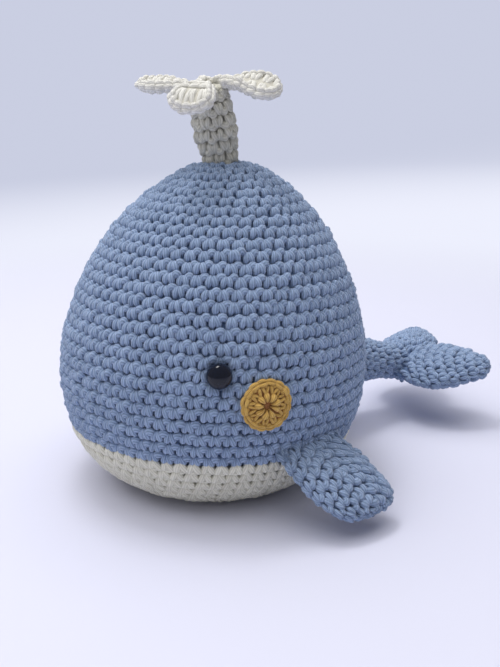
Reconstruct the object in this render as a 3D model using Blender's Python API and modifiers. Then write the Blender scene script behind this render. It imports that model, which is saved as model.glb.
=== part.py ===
"""A crocheted toy whale: a stuffed egg-shaped body, a cream belly, two fins, a tail
with two flukes, and a water spout with four petals. Metres, +Z up, nose towards -Y,
the whale's left side towards +X. The origin is under the body, on the floor."""

from math import cos, pi, radians, sin

import bmesh
import bpy
from mathutils import Matrix, Vector

# Gaps between pieces
SEAM_GAP = 0.0003
LIMIT_GAP = 0.0002
STUFFING_GAP = 0.0005

# Points of a turned shape nearer than this are one
MERGE_DISTANCE = 0.00001

# Fabric
COVER_THICKNESS = 0.0025
STUFFING_INSET = COVER_THICKNESS + STUFFING_GAP

# Body
BODY_HEIGHT = 0.1192
BODY_RADIUS = 0.0577
FLAT_DEPTH = 0.0005
CROWN_SET_BACK = 0.0070
BELLY_SEAM_HEIGHT = 0.020
BODY_SEGMENTS = 16
RING_CLEARANCE = 0.004
# Each ring of the body's outline: share of the height, share of the radius
BODY_OUTLINE_SHARES = (
    (0.000, 0.240),
    (0.001, 0.440),
    (0.018, 0.625),
    (0.090, 0.820),
    (0.196, 0.946),
    (0.318, 1.000),
    (0.455, 0.989),
    (0.595, 0.912),
    (0.730, 0.782),
    (0.850, 0.598),
    (0.940, 0.370),
    (0.985, 0.195),
    (1.000, 0.080),
)

# Eyes: a plastic dome on a shank, held inside by a washer
EYE_RADIUS = 0.004
EYE_DOME_HEIGHT = 0.0036
EYE_SHANK_RADIUS = 0.0015
EYE_SHANK_LENGTH = 0.011
EYE_HEIGHT = 0.0557
EYE_AZIMUTH = radians(55.5)
EYE_DOME_STEPS = 6
EYE_SEGMENTS = 24
WASHER_RADIUS = 0.0050
WASHER_THICKNESS = 0.0012
WASHER_SEAT = 0.0010
HOLE_CLEARANCE = 0.0003
POCKET_CLEARANCE = 0.0006

# Cheeks
CHEEK_RADIUS = 0.0086
CHEEK_THICKNESS = 0.0030
CHEEK_HEIGHT = 0.0453
CHEEK_AZIMUTH = radians(70.8)
CHEEK_SINK = 0.0012
CHEEK_SEGMENTS = 10
CHEEK_RIM_SHARES = ((0.0, 0.86), (0.35, 1.0), (0.75, 0.94), (1.0, 0.60))

# Fins: pressed flat at the seam, swelling towards the middle
FIN_LENGTH = 0.0315
FIN_WIDTH = 0.031
FIN_THICKNESS = 0.0105
FIN_ABOVE_SEAM = 0.0056
FIN_ROOT_HEIGHT = BELLY_SEAM_HEIGHT + FIN_ABOVE_SEAM
FIN_AZIMUTH = radians(90.0)
FIN_SWEEP = radians(14.0)
FIN_DROOP = radians(37.0)
FIN_ROOT_DEPTH = 0.004
FIN_DOWN_LIMIT = radians(-8.0)
FIN_UP_LIMIT = radians(45.0)
FIN_SEGMENTS = 12
# Share of the length, of the width, of the thickness
FIN_SHARES = (
    (0.05, 0.96, 0.30),
    (0.20, 1.00, 0.62),
    (0.45, 1.02, 1.00),
    (0.70, 0.98, 0.98),
    (0.88, 0.84, 0.82),
    (0.98, 0.52, 0.50),
)

# Tail stock
TAIL_LENGTH = 0.046
TAIL_ROOT_RADIUS = 0.0138
TAIL_TIP_RADIUS = 0.0078
TAIL_ROOT_HEIGHT = 0.0300
TAIL_DROP = 0.0070
TAIL_BEND = radians(16.0)
TAIL_ROOT_DEPTH = 0.005
TAIL_SWAY_LIMIT = radians(12.0)
TAIL_SEGMENTS = 12
# Share of the length, share of the way from root to tip radius
TAIL_SHARES = ((0.0, 0.0), (0.22, 0.10), (0.45, 0.50), (0.68, 0.85), (0.90, 1.0), (1.0, 1.30))

# Flukes
FLUKE_LENGTH = 0.0372
FLUKE_WIDTH = 0.0325
FLUKE_THICKNESS = 0.0130
FLUKE_SPREAD = radians(44.0)
FLUKE_PITCH = radians(-5.5)
FLUKE_ROLL = radians(16.0)
FLUKE_ROOT_OFFSET = 0.0045
FLUKE_ROOT_DEPTH = 0.004
FLUKE_DOWN_LIMIT = radians(-10.0)
FLUKE_UP_LIMIT = radians(25.0)
FLUKE_SEGMENTS = 12
FLUKE_SHARES = (
    (0.02, 0.72, 0.70),
    (0.16, 0.92, 0.90),
    (0.34, 1.00, 1.00),
    (0.52, 0.92, 0.96),
    (0.70, 0.72, 0.86),
    (0.86, 0.52, 0.72),
    (0.97, 0.34, 0.48),
)

# Spout
SPOUT_SET_BACK = 0.0052
SPOUT_HEIGHT = 0.0262
SPOUT_RADIUS = 0.0066
SPOUT_LEAN = radians(12.0)
SPOUT_TURN = radians(7.0)
SPOUT_ROOT_DEPTH = 0.004
SPOUT_TILT_LIMIT = radians(12.0)
SPOUT_SEGMENTS = 12
SPOUT_SHARES = ((0.0, 0.96), (0.14, 1.02), (0.32, 1.20), (0.60, 1.20), (0.88, 1.04), (1.0, 0.70))
# Left front, front, right and back petals, as the hand-sewn ones lie
PETAL_HEADINGS = (radians(-148.0), radians(-52.0), radians(40.0), radians(134.0))
PETAL_LENGTH = 0.0200
PETAL_WIDTH = 0.0152
PETAL_THICKNESS = 0.0045
PETAL_RISE = radians(8.0)
PETAL_DROOPS = (radians(-3.0), radians(56.0), radians(29.0), radians(14.0))
PETAL_ROLLS = (radians(-10.0), radians(-4.0), radians(26.0), radians(0.0))
PETAL_ROLL_SHARE = 0.5
PETAL_HINGE_SHARE = 1.0
PETAL_DOWN_LIMIT = radians(-15.0)
PETAL_UP_LIMIT = radians(25.0)
PETAL_SEGMENTS = 10
PETAL_SHARES = (
    (0.02, 0.50, 0.72),
    (0.25, 0.66, 1.00),
    (0.52, 0.92, 1.00),
    (0.76, 1.00, 1.00),
    (0.95, 0.64, 0.80),
)

BLUE = (0.20, 0.33, 0.56, 1.0)
CREAM = (0.80, 0.76, 0.66, 1.0)
MUSTARD = (0.72, 0.42, 0.06, 1.0)
BLACK = (0.01, 0.01, 0.015, 1.0)
WHITE = (0.90, 0.90, 0.90, 1.0)

parts = bpy.data.collections.new("plush_whale")
cutters = bpy.data.collections.new("cutters")


def clear_scene():
    for item in list(bpy.data.objects):
        bpy.data.objects.remove(item, do_unlink=True)
    for group in (parts, cutters):
        bpy.context.scene.collection.children.link(group)


def material(name, colour, roughness):
    made = bpy.data.materials.new(name)
    made.use_nodes = True
    shader = made.node_tree.nodes["Principled BSDF"]
    shader.inputs["Base Color"].default_value = colour
    shader.inputs["Roughness"].default_value = roughness
    return made


def add_part(name, mesh, colour, roughness=0.9):
    part = bpy.data.objects.new(name, mesh)
    parts.objects.link(part)
    mesh.materials.append(material(name, colour, roughness))
    mesh.shade_smooth()
    return part


def add_cutter(name, mesh, group=cutters):
    cutter = bpy.data.objects.new(name, mesh)
    group.objects.link(cutter)
    cutter.hide_render = True
    cutter.display_type = "WIRE"
    return cutter


def subdivide(item):
    smooth = item.modifiers.new("smooth", "SUBSURF")
    smooth.levels = 1
    smooth.render_levels = 1


def cut(item, cutter):
    difference = item.modifiers.new("cut_" + cutter.name, "BOOLEAN")
    difference.operation = "DIFFERENCE"
    difference.object = cutter


def thicken(item):
    wall = item.modifiers.new("wall", "SOLIDIFY")
    wall.thickness = COVER_THICKNESS
    wall.offset = -1.0


def swell(item, amount):
    grow = item.modifiers.new("swell", "DISPLACE")
    grow.strength = amount
    grow.mid_level = 0.0


def cage(name, sections, segments, open_start=False, open_end=False):
    """A coarse loft through rings, each a unit circle placed by its matrix."""
    loft = bmesh.new()
    turns = [2.0 * pi * corner / segments for corner in range(segments)]
    circle = [Vector((cos(turn), sin(turn), 0.0)) for turn in turns]
    rings = [[loft.verts.new(section @ point) for point in circle] for section in sections]
    for near, far in zip(rings, rings[1:]):
        for corner in range(segments):
            after = (corner + 1) % segments
            loft.faces.new((near[corner], near[after], far[after], far[corner]))
    if not open_start:
        loft.faces.new(list(reversed(rings[0])))
    if not open_end:
        loft.faces.new(rings[-1])
    mesh = bpy.data.meshes.new(name)
    loft.to_mesh(mesh)
    loft.free()
    return mesh


def ring_share(segments):
    """How far inside a ring of the cage its smoothed circle lies."""
    return (4.0 + 2.0 * cos(2.0 * pi / segments)) / 6.0


def cage_values(targets):
    """Values for the rings, so that the smoothed outline passes through the targets."""
    values = list(targets)
    for _ in range(12):
        for index in range(1, len(values) - 1):
            smoothed = (values[index - 1] + 4.0 * values[index] + values[index + 1]) / 6.0
            values[index] += targets[index] - smoothed
    return values


def set_back(height):
    """The body's rounds stay level, and their centres move back towards the crown."""
    share = max(height, 0.0) / BODY_HEIGHT
    return CROWN_SET_BACK * share ** 3


def body_heights():
    span = BODY_HEIGHT + FLAT_DEPTH
    return [share * span - FLAT_DEPTH for share, _ in BODY_OUTLINE_SHARES]


def body_radii():
    return [share * BODY_RADIUS for _, share in BODY_OUTLINE_SHARES]


def body_radius_at(height):
    heights = body_heights()
    radii = body_radii()
    for index in range(len(heights) - 1):
        low, high = heights[index], heights[index + 1]
        if low <= height <= high:
            share = (height - low) / (high - low)
            before = radii[max(index - 1, 0)]
            after = radii[min(index + 2, len(radii) - 1)]
            start, end = radii[index], radii[index + 1]
            return 0.5 * (2.0 * start + (end - before) * share
                          + (2.0 * before - 5.0 * start + 4.0 * end - after) * share ** 2
                          + (3.0 * start - before - 3.0 * end + after) * share ** 3)
    return 0.0


def body_cage(name, stations, open_start=False, open_end=False):
    heights = cage_values([height for height, _ in stations])
    radii = cage_values([radius for _, radius in stations])
    share = ring_share(BODY_SEGMENTS)
    sections = []
    for height, radius in zip(heights, radii):
        place = Matrix.Translation((0.0, set_back(height), height))
        sections.append(place @ Matrix.Diagonal((radius / share, radius / share, 1.0, 1.0)))
    return cage(name, sections, BODY_SEGMENTS, open_start, open_end)


def body_mesh(name):
    return body_cage(name, list(zip(body_heights(), body_radii())))


def surface_frame(height, azimuth, side):
    """A frame on the body: local Z leaves the surface, local Y points up along it.
    The azimuth runs from the nose, towards the left side for side +1."""
    angle = side * azimuth - pi / 2.0
    step = BODY_HEIGHT / 200.0
    slope = (body_radius_at(height + step) - body_radius_at(height - step)) / (2.0 * step)
    outward = Vector((cos(angle), sin(angle), 0.0))
    centre = Vector((0.0, set_back(height), height))
    normal = (outward - slope * Vector((0.0, 0.0, 1.0))).normalized()
    across = Vector((0.0, 0.0, 1.0)).cross(normal).normalized()
    upward = normal.cross(across)
    frame = Matrix((across, upward, normal)).transposed().to_4x4()
    return Matrix.Translation(centre + outward * body_radius_at(height)) @ frame


def swollen_cutter(name, mesh, place, gap=SEAM_GAP, group=cutters):
    """A soft form with a gap round it."""
    cutter = add_cutter(name, mesh, group)
    subdivide(cutter)
    swell(cutter, gap)
    cutter.matrix_world = place
    return cutter


def cut_clear(part, neighbour, make_mesh, place, hinge, limits):
    """Cuts a moving piece by its neighbour, as they meet at rest and at the hinge's limits."""
    pivot, axis = hinge
    group = bpy.data.collections.new(neighbour + "_round_" + part.name)
    cutters.children.link(group)
    turns = (("rest", 0.0, SEAM_GAP), ("low", limits[0], LIMIT_GAP), ("high", limits[1], LIMIT_GAP))
    for label, angle, gap in turns:
        name = neighbour + "_" + label + "_" + part.name
        turn = Matrix.Rotation(-angle, 4, axis)
        moved = Matrix.Translation(pivot) @ turn @ Matrix.Translation(-pivot) @ place
        swollen_cutter(name, make_mesh(name), moved, gap, group)
    clearance = part.modifiers.new("clearance", "BOOLEAN")
    clearance.operation = "DIFFERENCE"
    clearance.operand_type = "COLLECTION"
    clearance.collection = group


def cut_clear_of_body(part, hinge, limits):
    cut_clear(part, "body", body_mesh, Matrix.Identity(4), hinge, limits)


def turned(name, outline, closed=False):
    """A profile at +X, from the top down its outer side, turned about local Z."""
    profile = bmesh.new()
    points = [profile.verts.new((radius, 0.0, height)) for radius, height in outline]
    ends = points[1:] + points[:1] if closed else points[1:]
    for start, end in zip(points, ends):
        profile.edges.new((start, end))
    mesh = bpy.data.meshes.new(name)
    profile.to_mesh(mesh)
    profile.free()
    return mesh


def screw(item):
    turn = item.modifiers.new("turn", "SCREW")
    turn.steps = EYE_SEGMENTS
    turn.render_steps = EYE_SEGMENTS
    turn.use_merge_vertices = True
    turn.merge_threshold = MERGE_DISTANCE


def side_name(side):
    return "left" if side > 0 else "right"


# Body cover, belly and stuffing

def body_skin(name, upper):
    """The body's surface on one side of the belly seam and a little past it, open there."""
    edge = BELLY_SEAM_HEIGHT + (-RING_CLEARANCE if upper else RING_CLEARANCE)
    stations = [(height, radius) for height, radius in zip(body_heights(), body_radii())
                if (height > edge) == upper]
    stations = [station for station in stations if abs(station[0] - edge) > RING_CLEARANCE]
    rim = (edge, body_radius_at(edge))
    stations = [rim] + stations if upper else stations + [rim]
    return body_cage(name, stations, open_start=upper, open_end=not upper)


def level_cutter(name, height, above):
    """A block on one side of a level plane."""
    block = bmesh.new()
    size = 4.0 * BODY_RADIUS
    middle = height + (size if above else -size) / 2.0
    bmesh.ops.create_cube(block, size=size, matrix=Matrix.Translation((0.0, 0.0, middle)))
    mesh = bpy.data.meshes.new(name)
    block.to_mesh(mesh)
    block.free()
    return add_cutter(name, mesh)


def eye_frame(side):
    return surface_frame(EYE_HEIGHT, EYE_AZIMUTH, side)


def rod_cutter(name, frame, radius, near, far):
    """A cylinder along local Z of a frame, from near to far."""
    rod = bmesh.new()
    middle = Matrix.Translation((0.0, 0.0, (near + far) / 2.0))
    bmesh.ops.create_cone(
        rod, cap_ends=True, segments=EYE_SEGMENTS, radius1=radius, radius2=radius,
        depth=far - near, matrix=middle)
    mesh = bpy.data.meshes.new(name)
    rod.to_mesh(mesh)
    rod.free()
    cutter = add_cutter(name, mesh)
    cutter.matrix_world = frame
    return cutter


def make_body():
    cover = add_part("body_cover", body_skin("body_cover", True), BLUE)
    belly = add_part("belly_panel", body_skin("belly_panel", False), CREAM)
    for skin in (cover, belly):
        subdivide(skin)
        thicken(skin)
    cut(cover, level_cutter("below_seam", BELLY_SEAM_HEIGHT + SEAM_GAP / 2.0, above=False))
    cut(belly, level_cutter("above_seam", BELLY_SEAM_HEIGHT - SEAM_GAP / 2.0, above=True))
    cut(belly, level_cutter("floor", 0.0, above=False))
    stuffing = add_part("body_stuffing", body_mesh("body_stuffing"), WHITE)
    subdivide(stuffing)
    swell(stuffing, -STUFFING_INSET)
    for side in (1, -1):
        frame = eye_frame(side)
        hole = EYE_SHANK_RADIUS + HOLE_CLEARANCE
        cut(cover, rod_cutter("hole_" + side_name(side), frame, hole,
                              -2.0 * COVER_THICKNESS, COVER_THICKNESS))
        pocket = WASHER_RADIUS + POCKET_CLEARANCE
        cut(stuffing, rod_cutter("pocket_" + side_name(side), frame, pocket,
                                 -EYE_SHANK_LENGTH - POCKET_CLEARANCE, COVER_THICKNESS))


# Eyes and cheeks

def make_eye(side):
    name = "eye_" + side_name(side)
    outline = []
    for step in range(EYE_DOME_STEPS + 1):
        turn = step / EYE_DOME_STEPS * pi / 2.0
        outline.append((EYE_RADIUS * sin(turn), SEAM_GAP + EYE_DOME_HEIGHT * cos(turn)))
    outline.append((EYE_SHANK_RADIUS, SEAM_GAP))
    outline.append((EYE_SHANK_RADIUS, -EYE_SHANK_LENGTH))
    outline.append((0.0, -EYE_SHANK_LENGTH))
    eye = add_part(name, turned(name, outline), BLACK, 0.08)
    eye.matrix_world = eye_frame(side)
    screw(eye)


def make_washer(side):
    name = "eye_washer_" + side_name(side)
    top = -COVER_THICKNESS - WASHER_SEAT
    inner = EYE_SHANK_RADIUS + HOLE_CLEARANCE
    outline = ((inner, top), (WASHER_RADIUS, top), (WASHER_RADIUS, top - WASHER_THICKNESS),
               (inner, top - WASHER_THICKNESS))
    washer = add_part(name, turned(name, outline, closed=True), WHITE, 0.5)
    washer.matrix_world = eye_frame(side)
    screw(washer)


def make_cheek(side):
    name = "cheek_" + side_name(side)
    share = ring_share(CHEEK_SEGMENTS)
    sections = []
    for height_share, radius_share in CHEEK_RIM_SHARES:
        height = height_share * (CHEEK_THICKNESS + CHEEK_SINK) - CHEEK_SINK
        radius = radius_share * CHEEK_RADIUS / share
        place = Matrix.Translation((0.0, 0.0, height))
        sections.append(place @ Matrix.Diagonal((radius, radius, 1.0, 1.0)))
    cheek = add_part(name, cage(name, sections, CHEEK_SEGMENTS), MUSTARD)
    cheek.matrix_world = surface_frame(CHEEK_HEIGHT, CHEEK_AZIMUTH, side)
    subdivide(cheek)
    behind = "body_behind_" + name
    cut(cheek, swollen_cutter(behind, body_mesh(behind), Matrix.Identity(4)))


# Fins

def flat_sections(shares, length, width, thickness, segments, root_depth, path):
    """Rings across a flat limb that runs along local X, widest along local Y.
    The path gives a place, a tilt and a roll for each distance along the limb."""
    share = ring_share(segments)
    places = [-root_depth] + [along * length for along, _, _ in shares]
    widths = [shares[0][1]] + [wide for _, wide, _ in shares]
    thicks = [shares[0][2]] + [thick for _, _, thick in shares]
    sections = []
    for along, wide, thick in zip(places, widths, thicks):
        offset, tilt, roll = path(along)
        flat = Matrix.Diagonal((thick * thickness / share / 2.0, wide * width / share / 2.0, 1.0, 1.0))
        facing = Matrix.Rotation(tilt + pi / 2.0, 4, "Y") @ Matrix.Rotation(roll, 4, "Z")
        sections.append(Matrix.Translation(offset) @ facing @ flat)
    return sections


def make_fin(side):
    name = "fin_" + side_name(side)
    heading = side * FIN_AZIMUTH - pi / 2.0
    outward = Vector((cos(heading), sin(heading), 0.0))
    pivot = surface_frame(FIN_ROOT_HEIGHT, FIN_AZIMUTH, side).to_translation()

    def path(along):
        return (along * cos(FIN_SWEEP), side * along * sin(FIN_SWEEP), 0.0), 0.0, 0.0

    sections = flat_sections(FIN_SHARES, FIN_LENGTH, FIN_WIDTH, FIN_THICKNESS,
                             FIN_SEGMENTS, FIN_ROOT_DEPTH, path)
    fin = add_part(name, cage(name, sections, FIN_SEGMENTS), BLUE)
    droop = Matrix.Rotation(FIN_DROOP, 4, "Y")
    fin.matrix_world = Matrix.Translation(pivot) @ Matrix.Rotation(heading, 4, "Z") @ droop
    subdivide(fin)
    axis = Vector((outward.y, -outward.x, 0.0))
    cut_clear_of_body(fin, (pivot, axis), (FIN_DOWN_LIMIT, FIN_UP_LIMIT))


# Tail

def tail_pivot():
    back = body_radius_at(TAIL_ROOT_HEIGHT) + set_back(TAIL_ROOT_HEIGHT)
    return Vector((0.0, back, TAIL_ROOT_HEIGHT))


def tail_frame(along):
    """The stock's centre line at a distance from its root: local X points along it.
    It droops, and bends towards the left side, as the soft tail lies in the photograph."""
    share = max(along, 0.0) / TAIL_LENGTH
    turn = TAIL_BEND * share
    aside = along * sin(turn / 2.0)
    place = Vector((aside, along * cos(turn / 2.0), -TAIL_DROP * share * share))
    heading = Matrix.Rotation(pi / 2.0 - turn, 4, "Z")
    return Matrix.Translation(tail_pivot() + place) @ heading


def tail_end():
    return tail_frame(TAIL_LENGTH)


def tail_mesh(name, open_start=False, inset=0.0):
    share = ring_share(TAIL_SEGMENTS)
    taper = TAIL_TIP_RADIUS - TAIL_ROOT_RADIUS
    radii = [TAIL_ROOT_RADIUS + way * taper - inset for _, way in TAIL_SHARES]
    places = [along * TAIL_LENGTH for along, _ in TAIL_SHARES]
    places[0] -= TAIL_ROOT_DEPTH
    places[-1] -= inset
    sections = []
    to_local = Matrix.Translation(-tail_pivot())
    for place, radius in zip(places, radii):
        facing = to_local @ tail_frame(place) @ Matrix.Rotation(pi / 2.0, 4, "Y")
        sections.append(facing @ Matrix.Diagonal((radius / share, radius / share, 1.0, 1.0)))
    return cage(name, sections, TAIL_SEGMENTS, open_start)


def make_tail():
    stock = add_part("tail_stock", tail_mesh("tail_stock", True), BLUE)
    stock.location = tail_pivot()
    subdivide(stock)
    thicken(stock)
    filling = tail_mesh("tail_stuffing", inset=STUFFING_INSET)
    stuffing = add_part("tail_stuffing", filling, WHITE)
    stuffing.location = tail_pivot()
    subdivide(stuffing)
    upright = Vector((0.0, 0.0, 1.0))
    for piece in (stock, stuffing):
        cut_clear_of_body(piece, (tail_pivot(), upright), (-TAIL_SWAY_LIMIT, TAIL_SWAY_LIMIT))


def fluke_axis():
    """Across the stock's end, so that a positive turn raises a fluke."""
    return -(tail_end().to_3x3() @ Vector((0.0, 1.0, 0.0)))


def make_fluke(side):
    name = "fluke_" + side_name(side)
    pivot = (tail_end() @ Matrix.Translation((0.0, -side * FLUKE_ROOT_OFFSET, 0.0))).to_translation()

    def path(along):
        return (along, 0.0, 0.0), 0.0, 0.0

    sections = flat_sections(FLUKE_SHARES, FLUKE_LENGTH, FLUKE_WIDTH, FLUKE_THICKNESS,
                             FLUKE_SEGMENTS, FLUKE_ROOT_DEPTH, path)
    fluke = add_part(name, cage(name, sections, FLUKE_SEGMENTS), BLUE)
    heading = tail_end().to_3x3().to_4x4() @ Matrix.Rotation(-side * FLUKE_SPREAD, 4, "Z")
    tilt = Matrix.Rotation(FLUKE_PITCH, 4, "Y") @ Matrix.Rotation(side * FLUKE_ROLL, 4, "X")
    fluke.matrix_world = Matrix.Translation(pivot) @ heading @ tilt
    subdivide(fluke)
    cut_clear(fluke, "stock", tail_mesh, Matrix.Translation(tail_pivot()), (pivot, fluke_axis()),
              (FLUKE_DOWN_LIMIT, FLUKE_UP_LIMIT))
    other = bmesh.new()
    across = Matrix.Translation((0.0, side * (FLUKE_LENGTH - SEAM_GAP / 2.0), 0.0))
    bmesh.ops.create_cube(other, size=2.0 * FLUKE_LENGTH, matrix=across)
    mesh = bpy.data.meshes.new("other_side_" + name)
    other.to_mesh(mesh)
    other.free()
    slab = add_cutter("other_side_" + name, mesh)
    slab.matrix_world = tail_end()
    cut(fluke, slab)


# Spout

def spout_pivot():
    return Vector((0.0, SPOUT_SET_BACK, BODY_HEIGHT))


def spout_frame():
    return Matrix.Translation(spout_pivot()) @ Matrix.Rotation(SPOUT_LEAN, 4, "X")


def spout_mesh(name, open_start=False, inset=0.0):
    share = ring_share(SPOUT_SEGMENTS)
    sections = []
    for index, (along, wide) in enumerate(SPOUT_SHARES):
        height = along * (SPOUT_HEIGHT - inset) if index else -SPOUT_ROOT_DEPTH
        radius = (wide * SPOUT_RADIUS - inset) / share
        place = Matrix.Translation((0.0, 0.0, height)) @ Matrix.Rotation(SPOUT_TURN, 4, "Z")
        sections.append(place @ Matrix.Diagonal((radius, radius, 1.0, 1.0)))
    return cage(name, sections, SPOUT_SEGMENTS, open_start)


def make_spout():
    stem = add_part("spout_stem", spout_mesh("spout_stem", True), CREAM)
    stem.matrix_world = spout_frame()
    subdivide(stem)
    thicken(stem)
    filling = spout_mesh("spout_stuffing", inset=STUFFING_INSET)
    stuffing = add_part("spout_stuffing", filling, WHITE)
    stuffing.matrix_world = spout_frame()
    subdivide(stuffing)
    axis = Vector((1.0, 0.0, 0.0))
    for piece in (stem, stuffing):
        cut_clear_of_body(piece, (spout_pivot(), axis), (-SPOUT_TILT_LIMIT, SPOUT_TILT_LIMIT))


def petal_pivot(index):
    heading = PETAL_HEADINGS[index]
    reach = PETAL_HINGE_SHARE * SPOUT_RADIUS
    on_stem = Vector((reach * cos(heading), reach * sin(heading), SPOUT_HEIGHT))
    return spout_frame() @ on_stem


def make_petal(index):
    name = "spout_petal_" + str(index + 1)
    heading = PETAL_HEADINGS[index]
    pivot = petal_pivot(index)
    droop = PETAL_DROOPS[index]
    bend = (PETAL_RISE + droop) / PETAL_LENGTH

    def path(along):
        tilt = bend * along - PETAL_RISE
        reach = (sin(tilt) + sin(PETAL_RISE)) / bend
        grown = min(max(along / (PETAL_ROLL_SHARE * PETAL_LENGTH), 0.0), 1.0)
        roll = PETAL_ROLLS[index] * grown * grown * (3.0 - 2.0 * grown)
        return (reach, 0.0, (cos(tilt) - cos(PETAL_RISE)) / bend), tilt, roll

    sections = flat_sections(PETAL_SHARES, PETAL_LENGTH, PETAL_WIDTH, PETAL_THICKNESS,
                             PETAL_SEGMENTS, PETAL_THICKNESS / 2.0, path)
    petal = add_part(name, cage(name, sections, PETAL_SEGMENTS), CREAM)
    petal.matrix_world = Matrix.Translation(pivot) @ Matrix.Rotation(heading, 4, "Z")
    subdivide(petal)
    axis = Vector((sin(heading), -cos(heading), 0.0))
    cut_clear(petal, "stem", spout_mesh, spout_frame(), (pivot, axis),
              (PETAL_DOWN_LIMIT, PETAL_UP_LIMIT))


clear_scene()
make_body()
for side in (1, -1):
    make_eye(side)
    make_washer(side)
    make_cheek(side)
    make_fin(side)
make_tail()
for side in (1, -1):
    make_fluke(side)
make_spout()
for index in range(len(PETAL_HEADINGS)):
    make_petal(index)
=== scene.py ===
"""The looks of a crocheted toy whale, built stitch by stitch around its CAD frame.
Metres, +Z up, nose towards -Y, the whale's left side towards +X."""

from math import cos, pi, radians, sin

import bpy
import numpy as np
from mathutils import Matrix, Vector


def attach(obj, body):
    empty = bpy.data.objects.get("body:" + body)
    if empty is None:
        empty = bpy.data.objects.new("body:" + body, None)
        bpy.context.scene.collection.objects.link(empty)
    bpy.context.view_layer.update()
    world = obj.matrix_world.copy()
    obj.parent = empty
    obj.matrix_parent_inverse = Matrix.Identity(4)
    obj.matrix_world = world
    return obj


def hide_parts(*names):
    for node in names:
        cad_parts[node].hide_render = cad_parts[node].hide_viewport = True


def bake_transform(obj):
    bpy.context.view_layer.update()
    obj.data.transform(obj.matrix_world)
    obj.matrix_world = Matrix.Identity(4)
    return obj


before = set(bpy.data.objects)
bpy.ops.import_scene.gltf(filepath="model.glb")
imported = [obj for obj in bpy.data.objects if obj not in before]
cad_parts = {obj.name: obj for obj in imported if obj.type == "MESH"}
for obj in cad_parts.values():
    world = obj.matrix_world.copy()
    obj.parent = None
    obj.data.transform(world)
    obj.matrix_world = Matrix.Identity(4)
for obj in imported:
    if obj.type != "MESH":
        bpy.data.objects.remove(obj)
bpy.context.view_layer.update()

SIDES = ((1.0, "left"), (-1.0, "right"))

# The body's outline, as in the CAD source: shares of its height and of its radius
BODY_HEIGHT = 0.1192
BODY_RADIUS = 0.0577
CROWN_SET_BACK = 0.0070
BELLY_SEAM_HEIGHT = 0.020
BODY_OUTLINE_SHARES = (
    (0.000, 0.000), (0.001, 0.440), (0.018, 0.625), (0.090, 0.820), (0.196, 0.946),
    (0.318, 1.000), (0.455, 0.989), (0.595, 0.912), (0.730, 0.782), (0.850, 0.598),
    (0.940, 0.370), (0.985, 0.195), (1.000, 0.000))

# Fins, flukes, tail, spout and petals, as in the CAD source.
# Their tables hold shares of the length, of the width and, where there is a third, of the thickness.
FIN_LENGTH = 0.0315
FIN_WIDTH = 0.031
FIN_THICKNESS = 0.0105
FIN_ROOT_HEIGHT = 0.0256
FIN_AZIMUTH = radians(90.0)
FIN_SWEEP = radians(14.0)
FIN_DROOP = radians(37.0)
FIN_SHARES = (
    (-0.12, 0.96, 0.50), (0.05, 0.96, 0.50), (0.20, 1.00, 0.70), (0.45, 1.02, 1.00),
    (0.70, 0.98, 0.98), (0.84, 0.88, 0.86), (0.93, 0.68, 0.62), (0.975, 0.42, 0.36), (0.99, 0.0, 0.0))
TAIL_LENGTH = 0.046
TAIL_ROOT_RADIUS = 0.0138
TAIL_TIP_RADIUS = 0.0078
TAIL_ROOT_HEIGHT = 0.0300
TAIL_DROP = 0.0070
TAIL_BEND = radians(16.0)
# Shares of the length and of the fall from the root's radius to the tip's
TAIL_SHARES = (
    (-0.12, 0.0), (0.0, 0.0), (0.22, 0.10), (0.45, 0.50), (0.68, 0.85), (0.90, 1.0), (1.0, 1.2), (1.03, 2.2))
FLUKE_LENGTH = 0.0372
FLUKE_WIDTH = 0.0325
FLUKE_THICKNESS = 0.0130
FLUKE_SPREAD = radians(44.0)
FLUKE_PITCH = radians(-5.5)
FLUKE_ROLL = radians(16.0)
FLUKE_ROOT_OFFSET = 0.0045
FLUKE_SHARES = (
    (-0.10, 0.66, 0.62), (0.02, 0.72, 0.70), (0.16, 0.92, 0.90), (0.34, 1.00, 1.00), (0.52, 0.92, 0.96),
    (0.70, 0.72, 0.86), (0.85, 0.50, 0.70), (0.92, 0.38, 0.56), (0.965, 0.20, 0.30), (0.98, 0.0, 0.0))
SPOUT_SET_BACK = 0.0052
SPOUT_HEIGHT = 0.0262
SPOUT_RADIUS = 0.0066
SPOUT_LEAN = radians(12.0)
SPOUT_SHARES = (
    (-0.15, 0.92), (0.0, 0.96), (0.14, 1.02), (0.32, 1.20),
    (0.60, 1.20), (0.88, 1.04), (0.98, 0.80), (1.02, 0.0))
PETAL_HEADINGS = (radians(-148.0), radians(-52.0), radians(40.0), radians(134.0))
PETAL_LENGTH = 0.0200
PETAL_WIDTH = 0.0152
PETAL_RISE = radians(8.0)
PETAL_DROOPS = (radians(-3.0), radians(56.0), radians(29.0), radians(14.0))
PETAL_ROLLS = (radians(-10.0), radians(-4.0), radians(26.0), radians(0.0))
PETAL_ROLL_SHARE = 0.5
PETAL_SHARES = (
    (-0.10, 0.48), (0.02, 0.50), (0.25, 0.66), (0.52, 0.92),
    (0.76, 1.00), (0.90, 0.80), (0.97, 0.52), (1.0, 0.30))

# Eyes and cheeks
EYE_RADIUS = 0.004
EYE_HEIGHT = 0.0557
EYE_AZIMUTH = radians(55.5)
EYE_DOME_RADIUS = 0.00424
EYE_DOME_HEIGHT = 0.0036
EYE_DOME_LIFT = 0.0010
# The dome's edge turns in under it: shares of its radius, and heights from its rim
EYE_DOME_EDGE = ((1.0, -0.0008), (0.9, -0.0012), (0.4, -0.0014))
# How deep the fabric gives way round an eye, how far out, and within which radius all of it
EYE_PRESS = 0.0023
EYE_PRESS_REACH = 0.0064
EYE_PRESS_FLAT = 0.6 * EYE_RADIUS
CHEEK_RADIUS = 0.0086
CHEEK_HEIGHT = 0.0453
CHEEK_AZIMUTH = radians(70.8)

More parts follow.
